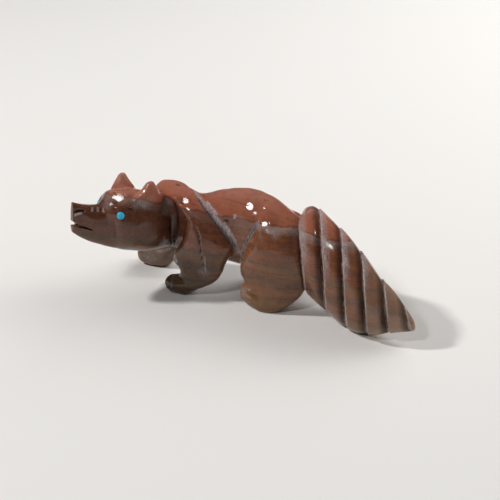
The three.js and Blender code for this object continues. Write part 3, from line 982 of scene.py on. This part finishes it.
dome = [
    [(EYE_DIAMETER / 2) * math.cos(turn), EYE_DOME * math.sin(turn)]
    for turn in np.linspace(0.15, math.pi / 2, 9)
]
outline = [[0, -EYE_DEPTH], [EYE_DIAMETER / 2 - EYE_ROUNDING, -EYE_DEPTH]]
outline += [[EYE_DIAMETER / 2, -EYE_DEPTH + EYE_ROUNDING], [EYE_DIAMETER / 2, 0]] + dome
eyes = {}
for name, pose in eye_poses.items():
    eyes[name] = spun(name + "_inlay", outline, pose)
    print(name, "sits at", [round(v, 1) for v in pose.translation])

# %% [markdown]
# ## Small tools for materials
#
# A material is a tree of nodes. `add` places one node, sets its settings and plugs in its inputs.
# Colours are written as the eye reads them in the photograph, and turned into the linear values that
# the renderer works with.


# %% Node helpers
def paint(red, green, blue):
    """A colour as seen on a screen, from 0 to 255, as the linear colour for a node."""
    return tuple((v / 255) ** 2.2 for v in (red, green, blue)) + (1.0,)


def add(tree, kind, inputs=None, **settings):
    node = tree.nodes.new(kind)
    for name, value in settings.items():
        setattr(node, name, value)
    for name, value in (inputs or {}).items():
        if isinstance(value, bpy.types.NodeSocket):
            tree.links.new(value, node.inputs[name])
        else:
            node.inputs[name].default_value = value
    return node


def calc(tree, operation, a, b=0.0, clamp=False):
    return add(tree, "ShaderNodeMath", {0: a, 1: b}, operation=operation, use_clamp=clamp).outputs[0]


def times(tree, first, *others):
    """The product of several values."""
    for other in others:
        first = calc(tree, "MULTIPLY", first, other)
    return first


def plus(tree, first, *others):
    """The sum of several values."""
    for other in others:
        first = calc(tree, "ADD", first, other)
    return first


def blend(tree, share, first, second):
    """The first colour, turning into the second as the share goes from 0 to 1."""
    mixed = add(tree, "ShaderNodeMix", {"Factor": share}, data_type="RGBA")
    for name, value in ((6, first), (7, second)):
        if isinstance(value, bpy.types.NodeSocket):
            tree.links.new(value, mixed.inputs[name])
        else:
            mixed.inputs[name].default_value = value
    return mixed.outputs[2]


def ramp(tree, value, stops):
    """A colour for each value from 0 to 1. The stops are (value, colour)."""
    node = add(tree, "ShaderNodeValToRGB", {"Fac": value})
    elements = node.color_ramp.elements
    while len(elements) < len(stops):
        elements.new(0.5)
    for element, (at, colour) in zip(elements, stops):
        element.position = at
        element.color = colour
    return node.outputs["Color"]


def stretched(tree, place, x, y, z):
    """The place with its axes scaled, so that a pattern is drawn out along the smaller ones."""
    return add(tree, "ShaderNodeVectorMath", {0: place, 1: (x, y, z)}, operation="MULTIPLY").outputs[0]


def noise(tree, place, scale, detail=2.0, rough=0.5):
    values = {"Vector": place, "Scale": scale, "Detail": detail, "Roughness": rough}
    return add(tree, "ShaderNodeTexNoise", values).outputs["Fac"]


def between(tree, value, low, high):
    """0 below low, 1 above high, and smooth in between."""
    node = add(tree, "ShaderNodeMapRange", {"Value": value, "From Min": low, "From Max": high})
    node.interpolation_type = "SMOOTHSTEP"
    return node.outputs["Result"]


def new_material(name, **surface):
    """A material with one Principled surface, and the place in millimetres that its patterns use."""
    material = bpy.data.materials.new(name)
    material.use_nodes = True
    tree = material.node_tree
    tree.nodes.clear()
    principled = add(tree, "ShaderNodeBsdfPrincipled")
    output = add(tree, "ShaderNodeOutputMaterial")
    tree.links.new(principled.outputs[0], output.inputs["Surface"])
    for socket, value in surface.items():
        principled.inputs[socket.replace("_", " ")].default_value = value
    place = stretched(tree, add(tree, "ShaderNodeTexCoord").outputs["Object"], 1000, 1000, 1000)
    return material, tree, principled, place


# %% [markdown]
# ## Grain, as a group
#
# Every stone here, the banded one and the turquoise, shows a fine grain: tiny lighter and darker
# specks, with a little relief where the polish skips them. It is one node group with its own values
# in each material. It puts out the specks and the relief, and the material decides their colour.


# %% Group: fine grain
def new_group(name, inputs, outputs):
    group = bpy.data.node_groups.new(name, "ShaderNodeTree")
    for label, kind, value in inputs:
        socket = group.interface.new_socket(label, in_out="INPUT", socket_type=kind)
        if value is not None:
            socket.default_value = value
    for label, kind in outputs:
        group.interface.new_socket(label, in_out="OUTPUT", socket_type=kind)
    return group, add(group, "NodeGroupInput"), add(group, "NodeGroupOutput")


def use_group(tree, group, **inputs):
    node = add(tree, "ShaderNodeGroup", node_tree=group)
    for label, value in inputs.items():
        socket = node.inputs[label.replace("_", " ").capitalize()]
        if isinstance(value, bpy.types.NodeSocket):
            tree.links.new(value, socket)
        else:
            socket.default_value = value
    return node.outputs


grain, given, result = new_group(
    "fine grain",
    [("Place", "NodeSocketVector", None), ("Size", "NodeSocketFloat", 0.3)],
    [("Specks", "NodeSocketFloat"), ("Relief", "NodeSocketFloat")],
)
frequency = calc(grain, "DIVIDE", 1.0, given.outputs["Size"])
fine = noise(grain, given.outputs["Place"], frequency, detail=3, rough=0.65)
coarse = noise(grain, given.outputs["Place"], times(grain, frequency, 0.31), detail=2)
specks = plus(grain, times(grain, fine, 0.7), times(grain, coarse, 0.3))
grain.links.new(between(grain, specks, 0.3, 0.7), result.inputs["Specks"])
grain.links.new(fine, result.inputs["Relief"])
print("group:", grain.name)

# %% [markdown]
# ## Banded stone
#
# The pebble was cut from layered stone, and its layers lie flat: brick red on top, a thin grey layer
# at the height of the shoulders, and below it rusty brown with dark, grey-green and orange bands down
# to the olive feet. The colour could be painted on, but here it follows one height, tilted and bent a
# little by noise, so that the layers run right through the stone as they do in the real pebble.

# %% Height in the layers
LAYER_TILT_X = 0.035
LAYER_TILT_Y = 0.25
HEAD_DROP = -1.7
SLOW_BEND = 2.4
QUICK_BEND = 2.0

banded, nodes, surface, place_mm = new_material("banded_stone", IOR=1.5)
axes = add(nodes, "ShaderNodeSeparateXYZ", {0: place_mm}).outputs
on_head = between(nodes, axes["X"], -19, -26)
slow = plus(nodes, noise(nodes, place_mm, 0.09), -0.5)
quick = plus(nodes, noise(nodes, place_mm, 0.5, 6, 0.72), -0.5)
layer = plus(
    nodes,
    axes["Z"],
    times(nodes, axes["Y"], LAYER_TILT_Y),
    times(nodes, axes["X"], LAYER_TILT_X),
    times(nodes, on_head, HEAD_DROP),
    times(nodes, slow, SLOW_BEND),
    times(nodes, quick, QUICK_BEND),
)

TOP = 30.0
LAYERS = [
    (0.0, paint(96, 78, 48)),
    (1.6, paint(112, 88, 58)),
    (2.8, paint(90, 70, 48)),
    (4.2, paint(116, 74, 48)),
    (5.6, paint(100, 76, 56)),
    (6.6, paint(72, 60, 50)),
    (7.6, paint(82, 68, 56)),
    (8.6, paint(112, 72, 48)),
    (9.8, paint(96, 82, 60)),
    (10.6, paint(84, 68, 54)),
    (12.2, paint(106, 60, 40)),
    (13.6, paint(84, 50, 36)),
    (15.2, paint(98, 58, 42)),
    (16.6, paint(86, 52, 38)),
    (18.2, paint(96, 58, 44)),
    (19.0, paint(106, 86, 78)),
    (20.0, paint(122, 108, 104)),
    (20.35, paint(84, 38, 30)),
    (20.8, paint(144, 82, 64)),
    # From here up the red is made paler toward the top of the back, and this paleness is partly painted
    # sheen.
    (23.4, paint(154, 90, 72)),
    (26.0, paint(168, 110, 96)),
    (30.0, paint(178, 122, 108)),
]
height_share = calc(nodes, "DIVIDE", layer, TOP, clamp=True)
colour = ramp(nodes, height_share, [(height / TOP, shade) for height, shade in LAYERS])
print("layers of stone:", len(LAYERS))

# %% [markdown]
# ## Streaks, veins and mottling
#
# Inside the layers the stone is uneven: thin rusty and murky streaks along them, darker patches, fine
# dark veins and a paler bloom in the red. Each is laid over the colour as a wash, like thin paint,
# with its own tint and strength, and only where its masks let it through.

# %% Washes over the layers
STREAK_STRENGTH = 0.62
WASHES = {
    "murky streaks": (paint(54, 46, 40), 0.68),
    "dark patches": (paint(60, 40, 32), 0.35),
    "dark veins": (paint(98, 44, 34), 0.4),
    "pale bloom": (paint(176, 112, 92), 0.4),
    "orange mottling": (paint(150, 88, 56), 0.34),
    "dark mottling": (paint(50, 44, 36), 0.34),
    "specks": (paint(158, 102, 80), 0.34),
    "warm rear": (paint(160, 108, 72), 0.12),
    # painted light on the tail tip and the far front paw
    "painted light on the tips": (paint(172, 146, 128), 0.45),
    # painted light on the ears
    "painted light on the ears": (paint(204, 146, 124), 0.4),
    # painted shade on the chest and the lower front
    "painted shade on the front": (paint(30, 22, 18), 0.27),
    "brown in front of the hips": (paint(108, 66, 52), 1.0),
    # painted shade on the near front leg and paw
    "painted shade on the near paw": (paint(34, 28, 12), 0.5),
    "scuffed grey": (paint(184, 172, 168), 0.55),
    # painted shade in cuts, hollows and flute valleys, with the stone's own dark vein on the back
    "painted shade and the dark vein": (paint(30, 24, 22), 0.85),
}


def wash(colour, name, *masks):
    """The colour with a named wash over it, where all its masks are open."""
    tint, strength = WASHES[name]
    return blend(nodes, times(nodes, strength, *masks), colour, tint)


calm_head = plus(nodes, 0.35, times(nodes, between(nodes, axes["X"], -24, -16), 0.65))
below_red = times(nodes, between(nodes, layer, 20.0, 19.0), calm_head)
on_red = between(nodes, layer, 20.4, 21.2)
streaks = noise(nodes, stretched(nodes, place_mm, 0.08, 0.08, 1.1), 1.0, 4, 0.62)
patches = noise(nodes, place_mm, 0.22, 3, 0.6)
veins = noise(nodes, stretched(nodes, place_mm, 0.5, 0.7, 1.2), 1.0, 5, 0.7)
mottle = noise(nodes, stretched(nodes, place_mm, 0.8, 0.8, 1.5), 1.0, 5, 0.75)
grains = use_group(nodes, grain, place=place_mm, size=0.32)

streak_tint = blend(nodes, between(nodes, layer, 6.0, 2.5), paint(130, 72, 40), paint(132, 112, 66))
rusty = times(nodes, between(nodes, streaks, 0.52, 0.66), below_red, STREAK_STRENGTH)
colour = blend(nodes, rusty, colour, streak_tint)
colour = wash(colour, "murky streaks", between(nodes, streaks, 0.47, 0.36), below_red)
colour = wash(colour, "dark patches", between(nodes, patches, 0.5, 0.72))
colour = wash(colour, "dark veins", between(nodes, veins, 0.56, 0.68), on_red)
colour = wash(colour, "pale bloom", between(nodes, veins, 0.46, 0.34), on_red)
colour = wash(colour, "orange mottling", between(nodes, mottle, 0.52, 0.66))
colour = wash(colour, "dark mottling", between(nodes, mottle, 0.47, 0.34))
colour = wash(colour, "specks", grains["Specks"])
print("washes:", len(WASHES))

# %% [markdown]
# ## Front, rear and tips
#
# The colour changes from end to end. The rear is made lighter and warmer. The chest and the lower
# front are painted darker as painted shade, and the grey layer turns brown in front of the hips. The
# ears, the tip of the tail and the far front paw are painted paler as painted light, and the near
# front paw is painted darkest as painted shade. Masks along the three axes say where.

# %% Washes by place
BROWNING = 0.85
GREY_ON_FACE = 0.55
tail_tip = between(nodes, axes["X"], 24, 38)
far_paw = times(nodes, between(nodes, axes["X"], -22, -28), between(nodes, axes["Z"], 11, 7))
ears = times(nodes, between(nodes, axes["X"], -22, -26), between(nodes, axes["Z"], 23.4, 25.4))
chest = times(nodes, between(nodes, axes["X"], -5, -11), between(nodes, layer, 20, 18))
near_paw = times(
    nodes,
    between(nodes, axes["Z"], 12, 5),
    between(nodes, axes["Y"], 4, 1),
    between(nodes, axes["X"], -6, -12),
)
before_hips = between(nodes, axes["X"], 3, -1)
grey_band = times(nodes, between(nodes, layer, 18.4, 19.2), between(nodes, layer, 20.9, 20.4))
browned = calc(nodes, "SUBTRACT", BROWNING, times(nodes, on_head, GREY_ON_FACE))

colour = wash(colour, "warm rear", between(nodes, axes["X"], -12, 4))
# painted light on the tail tip and the far front paw
colour = wash(colour, "painted light on the tips", calc(nodes, "MAXIMUM", tail_tip, far_paw))
# painted light on the ears
colour = wash(colour, "painted light on the ears", ears)
# painted shade on the chest and the lower front
colour = wash(colour, "painted shade on the front", chest)
colour = wash(colour, "brown in front of the hips", grey_band, before_hips, browned)
# painted shade on the near front leg and paw
colour = wash(colour, "painted shade on the near paw", near_paw)
print("places with their own wash: rear, tips, ears, front, hips, near paw")

# %% [markdown]
# ## Ground cuts and polish
#
# A ground cut is pale and matte, with scratches along the wheel's way, and the rest is polished until
# it mirrors. The noted marks say where the stone was ground, where a few places are painted pale as
# painted light, and where painted shade lies, with one dark vein of the stone. Fine scratches also
# dull the grey layer at the hips, which is softer than the red.

# %% Ground cuts
WORN_AND_LIT = 0.85
PALE_STOPS = [(0.3, paint(120, 108, 106)), (0.6, paint(200, 194, 196))]

ground_and_painted_light = add(nodes, "ShaderNodeAttribute", attribute_name="ground").outputs["Fac"]
shade_mark = add(nodes, "ShaderNodeAttribute", attribute_name="shade").outputs["Fac"]
wheel_way = noise(nodes, stretched(nodes, place_mm, 3.0, 3.0, 0.7), 1.0, 3, 0.6)
every_way = noise(nodes, place_mm, 3.6, 3, 0.7)
scratches = plus(nodes, times(nodes, wheel_way, 0.55), times(nodes, every_way, 0.45))
hair_lines = noise(nodes, stretched(nodes, place_mm, 6.0, 6.0, 1.3), 1.0, 4, 0.7)
soft_layer = times(nodes, between(nodes, layer, 18.0, 19.4), between(nodes, layer, 20.5, 20.1))
at_hips = plus(nodes, 0.2, times(nodes, between(nodes, axes["X"], -1, 3), 0.8))

colour = wash(colour, "scuffed grey", soft_layer, between(nodes, hair_lines, 0.4, 0.75), at_hips)
# Pale, matte marks: ground cuts and wear, and painted light on the brow, the far front paw, the nostril's
# lip, the nose wrinkles and the crests of the tail.
worn_and_lit = times(nodes, ground_and_painted_light, between(nodes, scratches, 0.25, 0.6), WORN_AND_LIT)
colour = blend(nodes, worn_and_lit, colour, ramp(nodes, scratches, PALE_STOPS))
# Painted shade in cuts, hollows and flute valleys, with the dark vein on the back.
colour = wash(colour, "painted shade and the dark vein", shade_mark)
nodes.links.new(colour, surface.inputs["Base Color"])
print("ground cuts read from the mesh: ground, shade")

# %% Polish and relief
POLISH = 0.13
GROUND_ROUGHNESS = 0.42
GRAIN_ROUGHNESS = 0.07
REFLECTION_SHADE_IN_GROOVES = 0.4
GRAIN_RELIEF = 0.25
SCRATCH_RELIEF = 2.0

rough_cuts = times(nodes, ground_and_painted_light, GROUND_ROUGHNESS)
rough_grain = times(nodes, grains["Specks"], GRAIN_ROUGHNESS)
roughness = plus(nodes, POLISH, rough_cuts, rough_grain)
nodes.links.new(roughness, surface.inputs["Roughness"])
# Where painted shade lies, the mirrored light is weakened too, as painted shade on the polish.
gloss = calc(nodes, "SUBTRACT", 0.5, times(nodes, shade_mark, REFLECTION_SHADE_IN_GROOVES))
nodes.links.new(gloss, surface.inputs["Specular IOR Level"])
grain_relief = times(nodes, grains["Relief"], GRAIN_RELIEF)
relief = plus(nodes, grain_relief, times(nodes, scratches, ground_and_painted_light, SCRATCH_RELIEF))
bump = add(nodes, "ShaderNodeBump", {"Height": relief, "Distance": 0.00003, "Strength": 0.35})
nodes.links.new(bump.outputs[0], surface.inputs["Normal"])
print("polish:", POLISH, "and ground:", POLISH + GROUND_ROUGHNESS)

# %% [markdown]
# ## Turquoise
#
# The inlays are clear blue with slightly deeper clouds, and polished with the rest of the head. Two
# blues and one noise are enough here, because an inlay is less than two millimetres across.

# %% Turquoise material
turquoise, nodes, surface, place_mm = new_material("turquoise", Roughness=0.3, IOR=1.55)
clouds = noise(nodes, place_mm, 1.1, 3)
blue = ramp(nodes, clouds, [(0.3, paint(44, 178, 226)), (0.7, paint(96, 216, 250))])
grains = use_group(nodes, grain, place=place_mm, size=0.2)
blue = blend(nodes, times(nodes, grains["Specks"], 0.2), blue, paint(20, 110, 150))
nodes.links.new(blue, surface.inputs["Base Color"])
bump = add(nodes, "ShaderNodeBump", {"Height": grains["Relief"], "Distance": 0.00002, "Strength": 0.4})
nodes.links.new(bump.outputs[0], surface.inputs["Normal"])
print("turquoise uses the group:", grain.name)

# %% [markdown]
# ## Finish the pieces
#
# Each piece takes its material, goes from millimetres to metres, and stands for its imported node. The
# shading is smooth, apart from edges that turn sharply, such as those of the flutes and the cuts.

# %% Dress and hand over
def finish_piece(piece, material, node):
    piece.data.materials.clear()
    piece.data.materials.append(material)
    piece.data.transform(Matrix.Scale(METRES, 4))
    piece.data.shade_smooth()
    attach(piece, "root")
    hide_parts(node)


SHARP_FROM = 50
finish_piece(stone, banded, "carving")
for name, piece in eyes.items():
    finish_piece(piece, turquoise, name)
stone.data.set_sharp_from_angle(angle=math.radians(SHARP_FROM))
print("triangles:", sum(len(p.vertices) - 2 for p in stone.data.polygons))

# %% [markdown]
# ## Floor and light
#
# The fox stands on a wide sheet of warm white paper, under five soft lamps. A small key lamp on the
# left throws the shadow to the right. A window on the right and a broad one behind lift the far
# sides, and the paper lamp brightens the paper there. Only the front lamp is mirrored in the polish,
# where it makes the bright spots, because the others would show there as plain rectangles.

# %% Floor, lamps and air
FLOOR_REACH = 4
AIR_COLOUR = (1.0, 0.99, 0.98, 1)
AIR_LIGHT = 0.05
LAMPS = {
    "key lamp": dict(azimuth=-78, elevation=41, distance=0.7, size=(0.05, 0.05), strength=0.60),
    "front lamp": dict(**FRONT_LAMP, size=(0.08, 0.08), strength=0.20, mirrored=True),
    "right window": dict(azimuth=104, elevation=18, distance=0.5, size=(0.6, 0.3), strength=0.23),
    "back window": dict(azimuth=158, elevation=30, distance=0.5, size=(0.6, 0.36), strength=0.55),
    "paper lamp": dict(
        azimuth=122, elevation=50, distance=0.34, size=(0.3, 0.3), strength=0.40, aim=(0.06, 0.10, 0)
    ),
}


def soft_lamp(name, azimuth, elevation, distance, size, strength, aim=AIM, mirrored=False):
    """A flat lamp. Azimuth 0 is the front and -90 the left, and strength is the light at its aim."""
    where, toward = lamp_place(azimuth, elevation, distance, aim)
    light = bpy.data.lights.new(name, "AREA")
    light.shape = "RECTANGLE"
    light.size, light.size_y = size
    light.energy = strength * (math.pi * distance) ** 2
    lamp = bpy.data.objects.new(name, light)
    lamp.location = where
    lamp.rotation_euler = Vector(-toward).to_track_quat("-Z", "Y").to_euler()
    lamp.visible_glossy = mirrored
    bpy.context.scene.collection.objects.link(lamp)


corners = [(x * FLOOR_REACH, y * FLOOR_REACH, 0) for x, y in ((-1, -1), (1, -1), (1, 1), (-1, 1))]
floor_mesh = bpy.data.meshes.new("floor")
floor_mesh.from_pydata(corners, [], [(0, 1, 2, 3)])
floor = bpy.data.objects.new("floor", floor_mesh)
bpy.context.scene.collection.objects.link(floor)
paper, _, surface, _ = new_material("paper", Roughness=0.9)
surface.inputs["Base Color"].default_value = paint(238, 235, 231)
floor_mesh.materials.append(paper)
for name, settings in LAMPS.items():
    soft_lamp(name, **settings)
world = bpy.data.worlds.new("air")
world.use_nodes = True
background = world.node_tree.nodes["Background"]
background.inputs["Color"].default_value = AIR_COLOUR
background.inputs["Strength"].default_value = AIR_LIGHT
bpy.context.scene.world = world
bpy.context.scene.view_settings.view_transform = "Standard"
print("lamps:", ", ".join(LAMPS))
